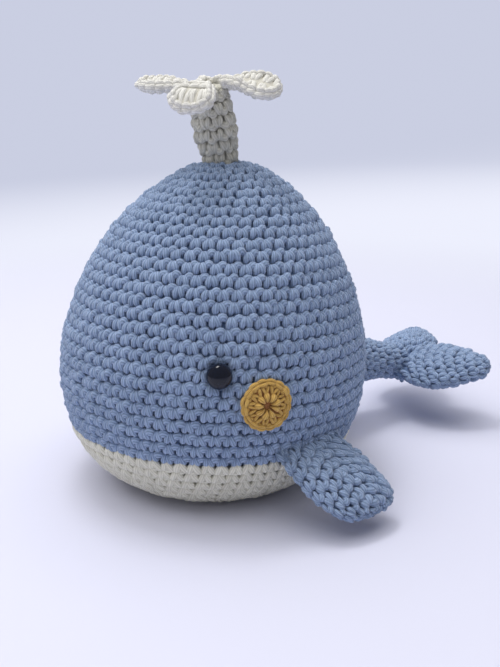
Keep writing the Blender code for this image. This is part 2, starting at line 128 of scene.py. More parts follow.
# Yarn and stitches
STITCH_WIDTH = 0.00500
LOWER_STITCH_WIDTH = 0.00465
BELLY_STITCH_WIDTH = 0.00455
ROUND_HEIGHT = 0.00447
YARN_RADIUS = 0.00117
BELLY_YARN = 0.00122
FABRIC_DEPTH = 0.0018
BELLY_DEPTH = 0.0013
BELLY_OVERLAP = 0.0013
BELLY_JITTER = 0.7
BACKING_DEPTH = 0.0020
BELLY_BACKING_DEPTH = 0.0016
BACKING_OVERLAP = 0.0005
LEAST_STITCHES = 6
BODY_PIECE_ROUNDS = 3
BELLY_PIECE_ROUNDS = 4
# How far the columns of stitches drift in a round, and the share of the way round where they line up
DRIFT_SHARE = 0.22
DRIFT_PLACE = 0.85
# How unevenly stitches lie, by shares of a stitch, and how unevenly they rise, in metres
UNEVEN_PLACE = 0.035
UNEVEN_WIDTH = 0.04
UNEVEN_SLANT = 0.05
UNEVEN_SWELL = 0.10
UNEVEN_LEAN = 0.030
UNEVEN_RISE = 0.00010
# Painted shade: yarn this far under the fabric's middle is painted darkest, and one span higher it is painted
# fully lit
STITCH_SHADE = 0.0009
STITCH_SHADE_SPAN = 0.0022
CHAIN_SHADE = 0.0010
CHAIN_SHADE_SPAN = 0.0020
TUBE_SIDES = 12
TUBE_RINGS = 9

rng = np.random.default_rng(7)


# Soft forms: a grid of points, equal steps from the start of the work, equal shares round it

def interpolate(table, column, at):
    """A smooth curve through one column of a table, by its first column."""
    x, y = np.array(table)[:, (0, column)].T
    slope = np.gradient(y, x)
    index = np.clip(np.searchsorted(x, at) - 1, 0, len(x) - 2)
    span = x[index + 1] - x[index]
    share = np.clip((at - x[index]) / span, 0.0, 1.0)
    one, two = y[index], y[index + 1]
    rise, leave = slope[index] * span, slope[index + 1] * span
    cubic = 2.0 * one - 2.0 * two + rise + leave
    square = -3.0 * one + 3.0 * two - 2.0 * rise - leave
    return ((cubic * share + square) * share + rise) * share + one


def smooth(share):
    """A share from 0 to 1 that leaves and arrives gently."""
    return share * share * (3.0 - 2.0 * share)


def walked(points):
    """How far along a line of points each one lies."""
    steps = np.linalg.norm(np.diff(points, axis=0), axis=1)
    return np.concatenate([[0.0], np.cumsum(steps)])


def even_ring(points, count):
    """The same closed ring with its points at equal steps."""
    closed = np.vstack([points, points[:1]])
    along = walked(closed)
    if along[-1] < 1e-9:
        return np.repeat(points[:1], count, axis=0)
    at = np.linspace(0.0, along[-1], count, endpoint=False)
    return np.stack([np.interp(at, along, closed[:, axis]) for axis in range(3)], axis=1)


class Form:
    """A closed soft surface. t is the distance from its start, s the share of the way round.
    Where it ends in a flat closed face, flat_end is a girth within that face."""

    def __init__(self, rings, steps=200, around=240, flat_end=0.0):
        grid = np.array([even_ring(np.array(ring), around) for ring in rings])
        walk = np.linalg.norm(np.diff(grid, axis=0), axis=2)
        along = np.vstack([np.zeros((1, around)), np.cumsum(walk, axis=0)])
        self.length = along[-1].max()
        self.t = np.linspace(0.0, self.length, steps)
        points = np.empty((steps, around, 3))
        for column in range(around):
            for axis in range(3):
                points[:, column, axis] = np.interp(self.t, along[:, column], grid[:, column, axis])
            past = self.t - along[-1, column]
            heading = grid[-1, column] - grid[-4, column]
            heading /= np.linalg.norm(heading)
            points[:, column] += np.clip(past, 0.0, None)[:, None] * heading
        down = np.gradient(points, axis=0)
        across = (np.roll(points, -1, axis=1) - np.roll(points, 1, axis=1)) / 2.0
        normal = np.cross(across, down)
        normal = normal / np.maximum(np.linalg.norm(normal, axis=2, keepdims=True), 1e-12)
        outward = points - points.mean(axis=1, keepdims=True)
        if (normal * outward)[steps // 4:steps // 2].sum() < 0.0:
            points = np.concatenate([points[:, :1], points[:, :0:-1]], axis=1)
            normal = -np.concatenate([normal[:, :1], normal[:, :0:-1]], axis=1)
        self.girths = np.linalg.norm(np.roll(points, -1, axis=1) - points, axis=2).sum(axis=1)
        normal[:2] = normal[2:3].mean(axis=1, keepdims=True)
        if flat_end:
            last = steps - 1 - int(np.argmax(self.girths[::-1] > flat_end))
            normal[last:] = normal[last].mean(axis=0)
        self.points = points
        self.normals = normal

    def girth(self, t):
        return float(np.interp(t, self.t, self.girths))

    def at(self, t, s, lift):
        """World points at arrays of t, s and lift above the surface."""
        steps, around, _ = self.points.shape
        row = np.clip(t / self.length * (steps - 1), 0.0, steps - 1.001)
        low = row.astype(int)
        row = (row - low)[..., None]
        column = (s % 1.0) * around
        left = column.astype(int) % around
        column = (column - np.floor(column))[..., None]
        right = (left + 1) % around

        def mixed(values):
            upper = values[low, left] * (1.0 - column) + values[low, right] * column
            lower = values[low + 1, left] * (1.0 - column) + values[low + 1, right] * column
            return upper * (1.0 - row) + lower * row

        normal = mixed(self.normals)
        normal /= np.maximum(np.linalg.norm(normal, axis=-1, keepdims=True), 1e-9)
        return mixed(self.points) + normal * lift[..., None]


def circle(count=240, turn=0.0):
    angles = np.linspace(0.0, 2.0 * pi, count, endpoint=False) + turn
    return np.cos(angles), np.sin(angles)


def moved(matrix, points):
    turn = np.array(matrix.to_3x3())
    return points @ turn.T + np.array(matrix.translation)


# Tubes of yarn: a stitch is drawn flat, across, down and up from the fabric

def tube(route, radii, flatten=0.92):
    """A tube through a few points, as rings of points."""
    route = np.array(route, float)
    table = [(knot, *point) for knot, point in zip(np.linspace(0.0, 1.0, len(route)), route)]
    along = np.linspace(0.0, 1.0, TUBE_RINGS)
    middle = np.stack([interpolate(table, axis, along) for axis in (1, 2, 3)], axis=1)
    tangent = np.gradient(middle, axis=0)
    tangent /= np.linalg.norm(tangent, axis=1, keepdims=True)
    side = np.cross(np.array((0.0, 0.0, 1.0)), tangent)
    side /= np.linalg.norm(side, axis=1, keepdims=True)
    over = np.cross(tangent, side)
    radius = np.interp(along, np.linspace(0.0, 1.0, len(radii)), radii)[:, None, None]
    right, high = circle(TUBE_SIDES)
    ring = right[None, :, None] * side[:, None, :] + flatten * high[None, :, None] * over[:, None, :]
    return middle[:, None, :] + radius * ring


def ring_faces(rings, sides):
    """Quads between closed rings of points, as point numbers, with their uvs."""
    ring, side = np.meshgrid(np.arange(rings - 1), np.arange(sides), indexing="ij")
    corners = [(ring + down, side + on) for down, on in ((0, 0), (0, 1), (1, 1), (1, 0))]
    quads = np.stack([down * sides + on % sides for down, on in corners], axis=-1)
    uvs = np.stack([np.stack([on / sides, down / (rings - 1)], axis=-1) for down, on in corners], axis=-2)
    return quads.reshape(-1, 4), uvs.reshape(-1, 2)


class Template:
    """One stitch's tubes in metres: across, down, up. Its width and height are a whole stitch's."""

    def __init__(self, tubes, width=1.0, height=1.0):
        self.tubes, self.width, self.height = len(tubes), width, height
        self.points = np.concatenate([item.reshape(-1, 3) for item in tubes])
        size = TUBE_RINGS * TUBE_SIDES
        self.part = np.repeat(np.arange(self.tubes), size)
        firsts = size * np.arange(self.tubes)[:, None, None]
        quads, uvs = ring_faces(TUBE_RINGS, TUBE_SIDES)
        self.quads = (quads + firsts).reshape(-1, 4)
        self.uvs = np.tile(uvs, (self.tubes, 1))
        ends = np.stack([np.arange(TUBE_SIDES)[::-1], size - TUBE_SIDES + np.arange(TUBE_SIDES)])
        self.caps = (ends + firsts).reshape(-1, TUBE_SIDES)


def mirrored(route):
    return tuple((-across, down, up) for across, down, up in route)


# How a strand's thickness runs from its start to its end
LOBE_SHAPE = (0.50, 0.84, 1.00, 1.08, 1.06, 0.90, 0.50)
LOOP_SHAPE = (0.50, 0.88, 1.06, 1.06, 0.88, 0.50)
CHEEK_LOBE_SHAPE = (0.60, 0.84, 1.00, 1.16, 1.20, 1.04, 0.60)
BAR_SHAPE = (0.6, 1.0, 1.05, 1.0, 0.6)

# The strands of each stitch: a route by shares of a stitch to the right and down and by yarn radii up,
# a thickness and a shape
OPEN_LEG = (
    (-0.01, -0.16, -0.6), (-0.11, 0.10, 0.42), (-0.24, 0.40, 0.50), (-0.36, 0.72, 0.34), (-0.44, 1.02, -0.6))
CHAIN_LEG = (
    (-0.02, -0.22, -0.9), (-0.22, 0.08, 0.35), (-0.27, 0.42, 0.55), (-0.16, 0.76, 0.35), (0.0, 1.05, -0.9))
# A single crochet from its right side: two legs and the loop beside them
CROCHET = (
    (((-0.05, 0.08, -1.0), (-0.115, 0.22, 0.30), (-0.175, 0.44, 0.60), (-0.225, 0.70, 0.46),
      (-0.255, 1.02, -1.1)), 1.02, LOBE_SHAPE),
    (((0.05, 0.06, -1.0), (0.125, 0.20, 0.36), (0.190, 0.42, 0.66), (0.235, 0.68, 0.46), (0.260, 0.99, -1.1)),
     1.02, LOBE_SHAPE),
    (((0.27, 0.48, -1.1), (0.37, 0.23, 0.26), (0.51, 0.13, 0.54), (0.66, 0.20, 0.26), (0.77, 0.44, -1.1)),
     1.22, LOOP_SHAPE))
# A stitch from its other side: two legs that part round a small hole, and the strand below it
OPEN_STITCH = (
    (OPEN_LEG, 1.0, LOBE_SHAPE), (mirrored(OPEN_LEG), 1.0, LOBE_SHAPE),
    (((-0.34, 1.04, -0.8), (-0.16, 0.92, 0.0), (0.0, 0.88, 0.16), (0.16, 0.92, 0.0), (0.34, 1.04, -0.8)),
     0.90, LOOP_SHAPE))
# One link of a chain: two drops that lean together, as wide as the chain
CHAIN = ((CHAIN_LEG, 1.0, LOBE_SHAPE), (mirrored(CHAIN_LEG), 1.0, LOBE_SHAPE))
# One plump stitch round the hole in the middle of a small disc
CHEEK_LOBE = (
    (((0.0, 0.04, -1.1), (0.02, 0.20, 0.10), (0.0, 0.52, 0.55), (-0.02, 0.84, 0.25), (0.0, 1.06, -0.9)),
     1.0, CHEEK_LOBE_SHAPE),)
# One link of a chain that lies along a rim, well under the next
RIM_LINK = (
    (((0.10, -0.34, -1.2), (-0.18, -0.04, 0.20), (-0.32, 0.36, 0.62), (-0.24, 0.80, 0.30),
      (-0.02, 1.14, -1.2)), 1.0, LOBE_SHAPE),
    (((-0.04, -0.34, -1.2), (0.20, -0.04, 0.20), (0.32, 0.36, 0.62), (0.22, 0.80, 0.30), (0.02, 1.14, -1.2)),
     1.0, LOBE_SHAPE))


def stitch_of(strands, width=STITCH_WIDTH, height=ROUND_HEIGHT, yarn=YARN_RADIUS):
    """A form's own way across runs to the left, as seen from outside with its start on top."""
    tubes = [tube([(-across * width, down * height, up * yarn) for across, down, up in route],
                  [yarn * thickness * share for share in shape]) for route, thickness, shape in strands]
    return Template(tubes, width, height)


def add_piece(name, mesh, finish):
    mesh.materials.append(finish)
    piece = bpy.data.objects.new(name, mesh)
    bpy.context.scene.collection.objects.link(piece)
    return piece


class Mass:
    """Points and faces gathered from many stitches."""

    def __init__(self):
        self.points, self.quads, self.caps, self.uvs, self.tints, self.depths = [], [], [], [], [], []
        self.count = 0

    def add(self, template, points, tints, depths):
        """points is stitches by template points, and the last two have or take that shape."""
        stitches, size, _ = points.shape
        offsets = self.count + np.arange(stitches)[:, None, None] * size
        self.points.append(points.reshape(-1, 3))
        self.quads.append((template.quads + offsets).reshape(-1, 4))
        self.caps.append((template.caps + offsets).reshape(-1, TUBE_SIDES))
        self.uvs.append(np.tile(template.uvs, (stitches, 1)))
        self.tints.append(np.broadcast_to(tints, (stitches, size)).reshape(-1))
        self.depths.append(np.broadcast_to(depths, (stitches, size)).reshape(-1))
        self.count += stitches * size

    def build(self, name, finish):
        points, quads, caps, uvs = map(np.concatenate, (self.points, self.quads, self.caps, self.uvs))
        mesh = bpy.data.meshes.new(name)
        mesh.vertices.add(len(points))
        mesh.vertices.foreach_set("co", points.astype(np.float32).ravel())
        corners = np.concatenate([quads.ravel(), caps.ravel()])
        sizes = np.repeat([4, TUBE_SIDES], [len(quads), len(caps)])
        starts = np.concatenate([[0], np.cumsum(sizes)[:-1]])
        mesh.loops.add(len(corners))
        mesh.loops.foreach_set("vertex_index", corners.astype(np.int32))
        mesh.polygons.add(len(sizes))
        mesh.polygons.foreach_set("loop_start", starts.astype(np.int32))
        mesh.polygons.foreach_set("use_smooth", np.ones(len(sizes), bool))
        spread = np.zeros((len(corners), 2))
        spread[:len(uvs)] = uvs
        mesh.uv_layers.new(name="yarn").data.foreach_set("uv", spread.astype(np.float32).ravel())
        # tint is each strand's random tone; depth is how much painted shade the finish puts on each point
        for label, values in (("tint", self.tints), ("depth", self.depths)):
            store = mesh.attributes.new(label, "FLOAT", "POINT")
            store.data.foreach_set("value", np.concatenate(values).astype(np.float32))
        mesh.update()
        mesh.validate()
        return add_piece(name, mesh, finish)


def strand_tints(template, stitches):
    """A tint for each strand, partly its stitch's own."""
    return rng.random((stitches, template.tubes))[:, template.part] * 0.6 + rng.random((stitches, 1)) * 0.4


def lay_round(mass, form, template, t_low, height, count, phase, sink=FABRIC_DEPTH, keep=None, jitter=1.0,
              flip=False, press=None):
    """Lays one round of stitches on a form, from t_low down, with small irregularities."""

    def uneven(spread, *shape):
        return rng.normal(0.0, spread * jitter, shape)

    centre = (np.arange(count) + 0.5 + phase) / count
    centre = centre + uneven(UNEVEN_PLACE, count) / count
    if keep is not None:
        centre = centre[keep(centre)]
    stitches, tubes, part = len(centre), template.tubes, template.part
    if not stitches:
        return
    across, down, up = template.points.T[:, None]
    across, down = across / template.width, down / template.height
    if flip:
        across, down = -across, 1.0 - down
    wide = 1.0 + uneven(UNEVEN_WIDTH, stitches, 1)
    slant = uneven(UNEVEN_SLANT, stitches, 1)
    shift = uneven(UNEVEN_PLACE, stitches, 1)
    swell = 1.0 + uneven(UNEVEN_SWELL, stitches, 1)
    rise = uneven(UNEVEN_RISE, stitches, tubes)[:, part]
    lean = uneven(UNEVEN_LEAN, stitches, tubes)[:, part]
    s = centre[:, None] + (across * wide + slant * (down - 0.5) + lean) / count
    t = t_low + (down + shift) * height
    lift = up * swell + rise - sink
    if press is not None:
        lift = lift + press(t, s)
    points = form.at(t, s, lift)
    points[..., 2] = np.maximum(points[..., 2], 0.0)
    # Painted shade: the deeper a point lies in the fabric, the darker the finish paints it
    depths = np.clip((up + STITCH_SHADE) / STITCH_SHADE_SPAN, 0.0, 1.0)
    mass.add(template, points, strand_tints(template, stitches), depths)


def lay_on_path(mass, template, path, sides, ups, closed=False):
    """Repeats a template along a path, its down along the path."""
    along = walked(np.array(path, float))
    count = max(1, round(along[-1] / template.height))
    across, down, up = template.points.T
    swell = 1.0 + rng.normal(0.0, 0.08, (count, 1))
    lean = rng.normal(0.0, 0.03, (count, template.tubes))[:, template.part] * template.height
    at = np.arange(count)[:, None] + down / template.height + rng.normal(0.0, 0.04, (count, 1))
    at = at * (along[-1] / count)
    at = at % along[-1] if closed else np.clip(at, 0.0, along[-1])

    def read(values):
        values = np.array(values, float)
        return np.stack([np.interp(at, along, values[:, axis]) for axis in range(3)], axis=-1)

    laid = (read(path) + read(sides) * (across * swell + lean)[..., None]
            + read(ups) * (up * swell)[..., None])
    # Painted shade: the deeper a point lies under the chain, the darker the finish paints it
    depths = np.clip((up + CHAIN_SHADE) / CHAIN_SHADE_SPAN, 0.0, 1.0)
    mass.add(template, laid, strand_tints(template, count), depths)


def closed_skin(name, rings, finish, turned=False):
    """A closed surface through rings of points, with a pole at each end."""
    rings = np.array(rings, float)
    rows, count, _ = rings.shape
    points = np.concatenate([rings.reshape(-1, 3), rings[:1].mean(axis=1), rings[-1:].mean(axis=1)])
    faces = ring_faces(rows, count)[0].tolist()
    start, last = rows * count, (rows - 1) * count
    for item in range(count):
        after = (item + 1) % count
        faces += [[start, after, item], [start + 1, last + item, last + after]]
    if turned:
        faces = [[face[0], *face[:0:-1]] for face in faces]
    mesh = bpy.data.meshes.new(name)
    mesh.from_pydata(points.tolist(), [], faces)
    mesh.shade_smooth()
    mesh.update()
    return add_piece(name, mesh, finish)


def backing(name, form, depth, finish, t_low=0.0, t_high=None, rows=70, columns=120, press=None):
    """The closed surface behind the stitches."""
    heights = np.linspace(t_low, form.length if t_high is None else t_high, rows)
    t, s = np.meshgrid(heights, np.linspace(0.0, 1.0, columns, endpoint=False), indexing="ij")
    lift = np.full(t.shape, -depth) + (0.0 if press is None else press(t, s))
    return closed_skin(name, form.at(t, s, lift), finish, turned=True)


# Finishes

class Finish:
    """A material, each of whose nodes is made, set and joined in one call."""

    def __init__(self, name, roughness, specular=0.5):
        self.material = bpy.data.materials.new(name)
        self.material.use_nodes = True
        self.tree = self.material.node_tree
        self.shader = self.tree.nodes["Principled BSDF"]
        self.feed(self.shader, {"Roughness": roughness, "Specular IOR Level": specular})

    def feed(self, item, inputs):
        """Gives each input of a node a value or another node's output."""
        for key, value in inputs.items():
            if isinstance(value, bpy.types.NodeSocket):
                self.tree.links.new(value, item.inputs[key])
            else:
                item.inputs[key].default_value = value

    def node(self, kind, inputs, output, **settings):
        item = self.tree.nodes.new("ShaderNode" + kind)
        for key, value in settings.items():
            setattr(item, key, value)
        self.feed(item, inputs)
        return item.outputs[output]

    def maths(self, operation, *values):
        return self.node("Math", dict(enumerate(values)), "Value", operation=operation)

    def total(self, *weighted):
        """The sum of outputs, each times its weight."""
        result = 0.0
        for value, weight in weighted:
            result = self.maths("MULTIPLY_ADD", value, weight, result)
        return result

    def noise(self, scale, detail=2.0):
        return self.node("TexNoise", {"Scale": scale, "Detail": detail}, "Fac")

    def ease(self, value, low, high):
        inputs = {"Value": value, "From Min": low, "From Max": high}
        return self.node("MapRange", inputs, "Result", interpolation_type="SMOOTHSTEP")

    def mix(self, share, one, two):
        inputs = {"Factor": share, "A": (*one, 1.0), "B": (*two, 1.0)}
        return self.node("Mix", inputs, "Result", data_type="RGBA")

    def bump(self, height, strength, distance):
        inputs = {"Height": height, "Strength": strength, "Distance": distance}
        self.feed(self.shader, {"Normal": self.node("Bump", inputs, "Normal")})


def yarn_finish(name, dark, light, sheen):
    """Plied cotton: fine strands along the yarn, a soft sheen, a little unevenness, painted highlight on each
    ply's ridge, and painted shade in its grooves and where the yarn dips in.
    """
    made = Finish(name, 0.85, 0.25)
    maths = made.maths
    uv = made.node("UVMap", {}, "UV", uv_map="yarn")
    around, along = (made.node("SeparateXYZ", {"Vector": uv}, axis) for axis in "XY")
    tint, depth = (made.node("Attribute", {}, "Fac", attribute_name=label) for label in ("tint", "depth"))
    turn = made.total((around, 9.0), (along, 1.0), (tint, 3.0), (made.noise(900.0, 3.0), 0.5))
    wave = maths("MULTIPLY", maths("ADD", maths("SINE", maths("MULTIPLY", turn, 2.0 * pi)), 1.0), 0.5)
    ply = maths("POWER", wave, 0.6)
    fibre = made.noise(5200.0)
    made.bump(made.total((fibre, 0.25), (ply, 1.0)), 0.65, 0.00018)
    # Painted highlight and shade: each ply's ridge is painted lighter and its grooves darker; tint and the
    # two noises add random tone
    shade = made.total((ply, 0.42), (tint, 0.22), (made.noise(60.0), 0.16), (fibre, 0.20))
    # Painted shade: yarn that dips into the fabric is painted darker, by its depth
    shade = maths("MULTIPLY", shade, maths("MULTIPLY_ADD", depth, 0.65, 0.40))
    made.feed(made.shader, {
        "Base Color": made.mix(shade, dark, light), "Sheen Weight": sheen, "Sheen Roughness": 0.5})
    return made.material


def grained_finish(name, colour, roughness, scale, strength, distance):
    """One colour with a fine grain."""
    made = Finish(name, roughness)
    made.feed(made.shader, {"Base Color": (*colour, 1.0)})
    made.bump(made.noise(scale), strength, distance)
    return made.material


def painted_shade_backing_finish(name, colour):
    """The inside of the fabric, seen between the stitches: the yarn's colour painted darker, as shade."""
    return grained_finish(name, colour, 0.95, 1500.0, 0.6, 0.0003)


# Each yarn: its finish, the finish behind it, painted darker as shade, and its slot
BLUE = (
    yarn_finish("blue_yarn", (0.090, 0.147, 0.266), (0.405, 0.530, 0.768), 0.30),
    painted_shade_backing_finish("blue_backing", (0.150, 0.225, 0.390)), "blue_yarn")
CREAM = (
    yarn_finish("cream_yarn", (0.56, 0.54, 0.45), (0.96, 0.95, 0.84), 0.15),
    painted_shade_backing_finish("cream_backing", (0.44, 0.43, 0.37)), "cream_yarn")
# Painted shade: the stem's cream is a darker copy of the cream yarn, for the shade that the petals cast on it
PAINTED_SHADE_CREAM = (
    yarn_finish("stem_painted_shade_yarn", (0.40, 0.39, 0.34), (0.75, 0.74, 0.66), 0.10), CREAM[1], "cream_yarn")
# Painted light: the petals' cream is a lighter copy of the cream yarn, for the light falling on their tops;
# their backing is painted lighter for that light and darker than their yarn as shade
PAINTED_LIGHT_CREAM = (
    yarn_finish("petal_painted_light_yarn", (0.66, 0.65, 0.60), (0.95, 0.94, 0.90), 0.15),
    painted_shade_backing_finish("petal_painted_light_and_shade_backing", (0.66, 0.64, 0.57)), "cream_yarn")
MUSTARD = (
    yarn_finish("mustard_yarn", (0.38, 0.19, 0.04), (0.92, 0.62, 0.18), 0.15),
    painted_shade_backing_finish("mustard_backing", (0.42, 0.19, 0.07)), "mustard_yarn")


def dress(piece, rides, slot, *nodes, fill=None):
    """Every piece: the body that it rides on, its slot (not used), the nodes that it stands for."""
    if isinstance(rides, str):
        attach(piece, rides)
    else:
        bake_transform(piece)
    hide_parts(*nodes)


# Body

def set_back(height):
    return CROWN_SET_BACK * np.clip(height / BODY_HEIGHT, 0.0, 1.0) ** 3


def body_outline(count=400):
    """Heights and radii from the crown's centre to the underside's."""
    table = np.array(BODY_OUTLINE_SHARES) * (BODY_HEIGHT, BODY_RADIUS)
    along = walked(table)
    rows = [(a, z, r) for a, (z, r) in zip(along, table)]
    at = np.linspace(along[-1], 0.0, count)
    return tuple(np.clip(interpolate(rows, column, at), 0.0, None) for column in (1, 2))


BODY_HEIGHTS, BODY_RADII = body_outline()


def body_radius_at(height):
    widest = int(np.argmax(BODY_RADII))
    half = slice(None, widest + 1) if height >= BODY_HEIGHTS[widest] else slice(widest, None)
    return float(np.interp(height, BODY_HEIGHTS[half][::-1], BODY_RADII[half][::-1]))


def body_form():
    across, back = circle(turn=-pi / 2.0)
    rings = []
    for height, radius in zip(BODY_HEIGHTS, BODY_RADII):
        level = np.full(across.shape, height)
        rings.append(np.stack([radius * across, radius * back + set_back(height), level], axis=1))
    return Form(rings, steps=420, around=720, flat_end=0.05)


body = body_form()


def surface_frame(height, azimuth, side):
    """Local Z leaves the body, local Y points up along it."""
    angle = side * azimuth - pi / 2.0
    step = BODY_HEIGHT / 200.0
    slope = (body_radius_at(height + step) - body_radius_at(height - step)) / (2.0 * step)
    outward = Vector((cos(angle), sin(angle), 0.0))
    centre = Vector((0.0, float(set_back(height)), height))
    normal = (outward - slope * Vector((0.0, 0.0, 1.0))).normalized()
    across = Vector((0.0, 0.0, 1.0)).cross(normal).normalized()
    upward = normal.cross(across)
    turn = Matrix((across, upward, normal)).transposed().to_4x4()
    return Matrix.Translation(centre + outward * body_radius_at(height)) @ turn


def seam_t():
    heights = body.points[:, :, 2].mean(axis=1)
    below = np.argmax(heights < BELLY_SEAM_HEIGHT)
    return float(np.interp(BELLY_SEAM_HEIGHT, heights[below:below - 2:-1], body.t[below:below - 2:-1]))


def press_at_eyes(t, s):
    """The lift, below zero near an eye."""
    points = body.at(t, s, np.zeros(t.shape))
    lift = np.zeros(t.shape)
    for side, _ in SIDES:
        eye = np.array(surface_frame(EYE_HEIGHT, EYE_AZIMUTH, side).translation)
        away = np.linalg.norm(points - eye, axis=-1)
        share = (EYE_PRESS_REACH - away) / (EYE_PRESS_REACH - EYE_PRESS_FLAT)
        lift -= EYE_PRESS * smooth(np.clip(share, 0.0, 1.0))
    return lift


def cover_body(name, yarn, node, stitch, start, height, counts, piece_rounds, **how):
    """Rounds of stitches down the body, and a piece for every few of them."""
    mass = Mass()
    for number, count in enumerate(counts):
        phase = (DRIFT_SHARE * number + DRIFT_PLACE * count) % 1.0
        lay_round(mass, body, stitch, start + number * height, height, count, phase, **how)
        if (number + 1) % piece_rounds == 0 or number == len(counts) - 1:
            piece = mass.build(f"{name}_rounds_{number // piece_rounds + 1}", yarn[0])
            dress(piece, "body", yarn[2], node, fill=0.9)
            mass = Mass()


def make_body():
    """The cover from the crown to the seam: under its widest round no round has more stitches."""
    end = seam_t()
    rounds = int(end / ROUND_HEIGHT)
    start = end - rounds * ROUND_HEIGHT
    counts, widest, girth_before = [], False, 0.0
    for number in range(rounds):
        girth = body.girth(start + number * ROUND_HEIGHT + 0.5 * ROUND_HEIGHT)
        widest = widest or girth < girth_before
        girth_before = girth
        count = max(LEAST_STITCHES, round(girth / (LOWER_STITCH_WIDTH if widest else STITCH_WIDTH)))
        counts.append(min(count, counts[-1]) if widest else count)
    cover_body("body", BLUE, "body_cover", stitch_of(CROCHET), start, ROUND_HEIGHT, counts,
               BODY_PIECE_ROUNDS, press=press_at_eyes)
    shell = backing("body_backing", body, BACKING_DEPTH, BLUE[1], t_high=end + BACKING_OVERLAP,
                    rows=90, columns=200, press=press_at_eyes)
    dress(shell, "body", BLUE[2], "body_cover", "body_stuffing", fill=0.9)
    make_belly(end)


def make_belly(end):
    """The rounds from the seam to the underside's centre, worked the other way out."""
    start = end - BELLY_OVERLAP
    rounds = round((body.length - start) / ROUND_HEIGHT)
    height = (body.length - start) / rounds
    girths = [body.girth(start + number * height + 0.5 * height) for number in range(rounds - 1)]
    counts = [max(LEAST_STITCHES, round(girth / BELLY_STITCH_WIDTH)) for girth in girths]
    stitch = stitch_of(OPEN_STITCH, BELLY_STITCH_WIDTH, yarn=BELLY_YARN)
    cover_body("belly", CREAM, "belly_panel", stitch, start, height, counts, BELLY_PIECE_ROUNDS,
               sink=BELLY_DEPTH, jitter=BELLY_JITTER)
    shell = backing("belly_backing", body, BELLY_BACKING_DEPTH, CREAM[1], t_low=end, rows=40, columns=160)
    dress(shell, "body", CREAM[2], "belly_panel", fill=0.9)


# Limbs: forms that run from their tip towards the body

# How far a limb's rounds go on inside what it is sewn to
ROOT_OVERLAP = 0.0015
FLUKE_ROOT_OVERLAP = 0.0012
FLUKE_MIDDLE_OVERLAP = 0.0004
STEM_ROOT_OVERLAP = 0.0030
STEM_YARN = YARN_RADIUS * 1.05
STEM_ROUND_HEIGHT = 0.0046
TAIL_SEAM_REACH = 0.012
STEM_SEAM_REACH = 0.010


def outside_body(points):
    """Whether points lie outside the body's surface, measured level, or only a little inside."""
    order = np.argsort(BODY_HEIGHTS)
    radius = np.interp(points[..., 2], BODY_HEIGHTS[order], BODY_RADII[order])
    away = np.hypot(points[..., 0], points[..., 1] - set_back(points[..., 2]))
    return radius - away < ROOT_OVERLAP


def limb_form(table, length, place, wide, thick, count=90):
    """Rings across a limb's local X, from the end of its table to its start."""
    across, up = circle()
    share = 0.5 - 0.5 * np.cos(np.linspace(0.0, pi, count))
    at = table[-1][0] + (table[0][0] - table[-1][0]) * share
    widths = np.clip(interpolate(table, 1, at), 0.0, None) * wide / 2.0
    depths = np.clip(interpolate(table, 2, at), 0.0, None) * thick / 2.0
    widths[0] = depths[0] = 0.0
    rings = []
    for along, width, depth in zip(at, widths, depths):
        flat = np.stack([np.zeros(across.shape), across * width, up * depth], axis=1)
        rings.append(moved(place(along * length), flat))
    return Form(rings)


def round_form(table, length, place, radius):
    table = [(share, girth, girth) for share, girth in table]
    return limb_form(table, length, place, 2.0 * radius, 2.0 * radius)


def across_seam(carrier, moving, place, length, before, after):
    """The bodies on either side of a limb's seam, and points at two shares of a length before and after its
    root.
    """
    pivot = place(0.0).translation
    out = place(length).translation - pivot
    return carrier, moving, pivot - before * out, pivot + after * out


def cover_limb(name, form, yarn, rides, nodes, keep=outside_body, stitch=None, height=ROUND_HEIGHT, first=0.0,
               flip=False, phase=0.0):
    """Rounds of stitches and the backing behind them, over one form."""
    stitch = stitch or stitch_of(CROCHET)
    mass = Mass()
    for number in range(int((form.length - first) / height + 0.5)):
        t_low = first + number * height
        count = max(LEAST_STITCHES, round(form.girth(t_low + 0.55 * height) / STITCH_WIDTH))

        def kept(centre):
            return keep(form.at(np.full(centre.shape, t_low + 0.5 * height), centre, np.zeros(centre.shape)))

        lay_round(mass, form, stitch, t_low, height, count, (phase + DRIFT_SHARE * number) % 1.0,
                  keep=kept, flip=flip)
    dress(mass.build(name + "_rounds", yarn[0]), rides, yarn[2], *nodes, fill=0.8)
    shell = backing(name + "_backing", form, BACKING_DEPTH, yarn[1], rows=60, columns=72)
    dress(shell, rides, yarn[2], *nodes, fill=0.8)


def fin_place(side):
    pivot = surface_frame(FIN_ROOT_HEIGHT, FIN_AZIMUTH, side).translation
    turn = Matrix.Rotation(side * FIN_AZIMUTH - pi / 2.0, 4, "Z") @ Matrix.Rotation(FIN_DROOP, 4, "Y")
    base = Matrix.Translation(pivot) @ turn

    def place(along):
        offset = Vector((along * cos(FIN_SWEEP), side * along * sin(FIN_SWEEP), 0.0))
        return base @ Matrix.Translation(offset)

    return place


def make_fins():
    for side, label in SIDES:
        name, place = "fin_" + label, fin_place(side)
        form = limb_form(FIN_SHARES, FIN_LENGTH, place, FIN_WIDTH, FIN_THICKNESS)
        rides = across_seam("body", name, place, FIN_LENGTH, 0.06, 0.22)
        cover_limb(name, form, BLUE, rides, (name,))


def tail_frame(along):
    share = along / TAIL_LENGTH
    turn = TAIL_BEND * share
    place = Vector((along * sin(turn / 2.0), along * cos(turn / 2.0), -TAIL_DROP * share * abs(share)))
    back = float(set_back(TAIL_ROOT_HEIGHT))
    pivot = Vector((0.0, back + body_radius_at(TAIL_ROOT_HEIGHT), TAIL_ROOT_HEIGHT))
    return Matrix.Translation(pivot + place) @ Matrix.Rotation(pi / 2.0 - turn, 4, "Z")


